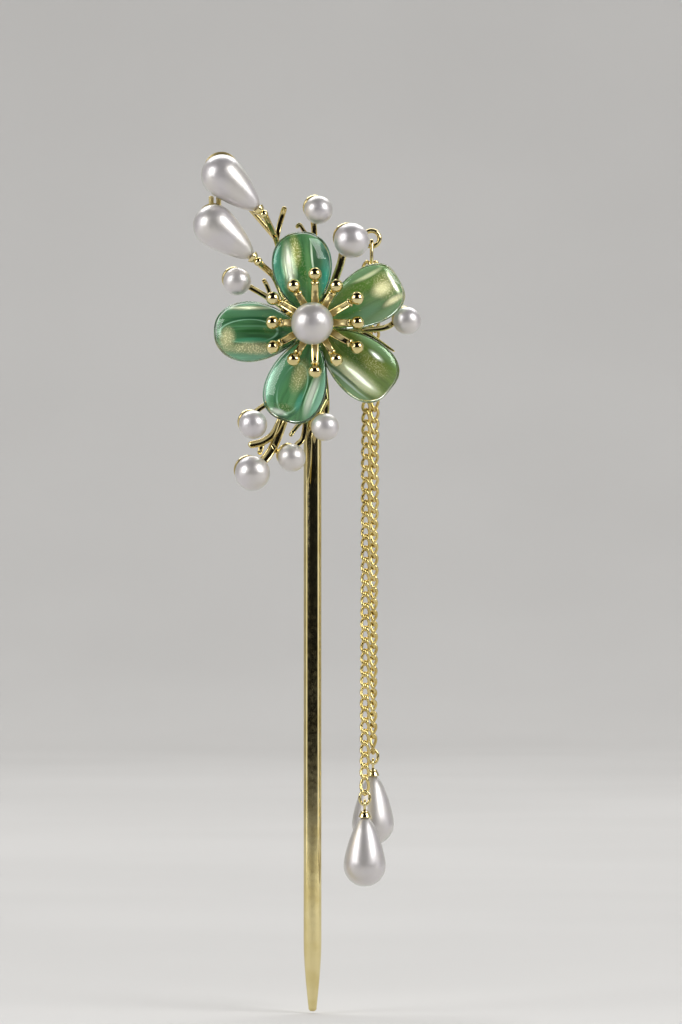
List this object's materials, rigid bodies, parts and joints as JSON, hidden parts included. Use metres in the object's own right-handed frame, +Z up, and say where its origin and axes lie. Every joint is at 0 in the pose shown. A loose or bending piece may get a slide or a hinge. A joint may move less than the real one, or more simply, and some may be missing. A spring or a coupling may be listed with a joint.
{
  "type": "decorative hair pin",
  "caption": "Long round hair pin with a glass flower, pearls in cups on gold branches, and hanging chains that end in pear drops.",
  "frame": {"origin": "on the shaft's axis, 75 mm below the flower's centre, where hair or a holder grips the pin", "axes": "+Z up the shaft to the flower, +X to the side where the chains hang, and the flower faces -Y"},
  "size_m": [0.043, 0.0281, 0.1626],
  "materials": {
    "champagne_gold": "polished pale gold plating",
    "chain_gold": "polished gold plating on chain links",
    "white_pearl": "pearlescent white with a soft gloss",
    "green_glass": "clear green glass with gold lustre streaks"
  },
  "bodies": {
    "pin": {"pin_shaft": "champagne_gold", "flower_backplate": "champagne_gold", "petal_top": "green_glass", "petal_upper_right": "green_glass", "petal_lower_right": "green_glass", "petal_bottom": "green_glass", "petal_left": "green_glass", "stamen_star": "champagne_gold", "pearl_centre": "white_pearl", "branch_top": "champagne_gold", "branch_upper_right": "champagne_gold", "branch_left": "champagne_gold", "branch_right": "champagne_gold", "branch_lower_left": "champagne_gold", "branch_bottom": "champagne_gold", "branch_bottom_right": "champagne_gold", "setting_upper": "champagne_gold", "setting_lower": "champagne_gold", "pearl_top": "white_pearl", "pearl_upper_right": "white_pearl", "pearl_left": "white_pearl", "pearl_right": "white_pearl", "pearl_lower_left_inner": "white_pearl", "pearl_lower_left_outer": "white_pearl", "pearl_bottom": "white_pearl", "pearl_bottom_right": "white_pearl", "drop_upper": "white_pearl", "drop_lower": "white_pearl"},
    "jump_ring": {"top_jump_ring": "champagne_gold"},
    "left_upper": {"left_chain_upper": "chain_gold"},
    "left_middle": {"left_chain_middle": "chain_gold"},
    "left_lower": {"left_chain_lower": "chain_gold", "left_end_ring": "champagne_gold"},
    "left_drop": {"left_eye_pin": "champagne_gold", "left_drop_cap": "champagne_gold", "left_hanging_drop": "white_pearl"},
    "right_upper": {"right_chain_upper": "chain_gold"},
    "right_middle": {"right_chain_middle": "chain_gold"},
    "right_lower": {"right_chain_lower": "chain_gold", "right_end_ring": "champagne_gold"},
    "right_drop": {"right_eye_pin": "champagne_gold", "right_drop_cap": "champagne_gold", "right_hanging_drop": "white_pearl"}
  },
  "joints": [
    {"name": "chain_sway", "type": "hinge", "parent": "pin", "child": "jump_ring", "pos_m": [0.0112, 0.002, 0.0915], "axis": [0, -1, 0], "range_deg": [-1.5, 20]},
    {"name": "left_upper_swing", "type": "hinge", "parent": "jump_ring", "child": "left_upper", "pos_m": [0.0103, 0.001, 0.0861], "axis": [-1, 0, 0], "range_deg": [0, 1]},
    {"name": "left_middle_bend", "type": "hinge", "parent": "left_upper", "child": "left_middle", "pos_m": [0.01017, 0.00107, 0.0523], "axis": [-1, 0, 0], "range_deg": [0, 40]},
    {"name": "left_lower_bend", "type": "hinge", "parent": "left_middle", "child": "left_lower", "pos_m": [0.01003, 0.00113, 0.0197], "axis": [-1, 0, 0], "range_deg": [0, 40]},
    {"name": "left_drop_swing", "type": "hinge", "parent": "left_lower", "child": "left_drop", "pos_m": [0.0099, 0.0012, -0.01595], "axis": [-1, 0, 0], "range_deg": [0, 50]},
    {"name": "right_upper_swing", "type": "hinge", "parent": "jump_ring", "child": "right_upper", "pos_m": [0.0119, 0.0029, 0.0861], "axis": [1, 0, 0], "range_deg": [0, 20]},
    {"name": "right_middle_bend", "type": "hinge", "parent": "right_upper", "child": "right_middle", "pos_m": [0.01177, 0.00457, 0.05483], "axis": [1, 0, 0], "range_deg": [0, 40]},
    {"name": "right_lower_bend", "type": "hinge", "parent": "right_middle", "child": "right_lower", "pos_m": [0.01163, 0.00623, 0.02477], "axis": [1, 0, 0], "range_deg": [0, 40]},
    {"name": "right_drop_swing", "type": "hinge", "parent": "right_lower", "child": "right_drop", "pos_m": [0.0115, 0.0079, -0.00835], "axis": [1, 0, 0], "range_deg": [0, 50]}
  ]
}
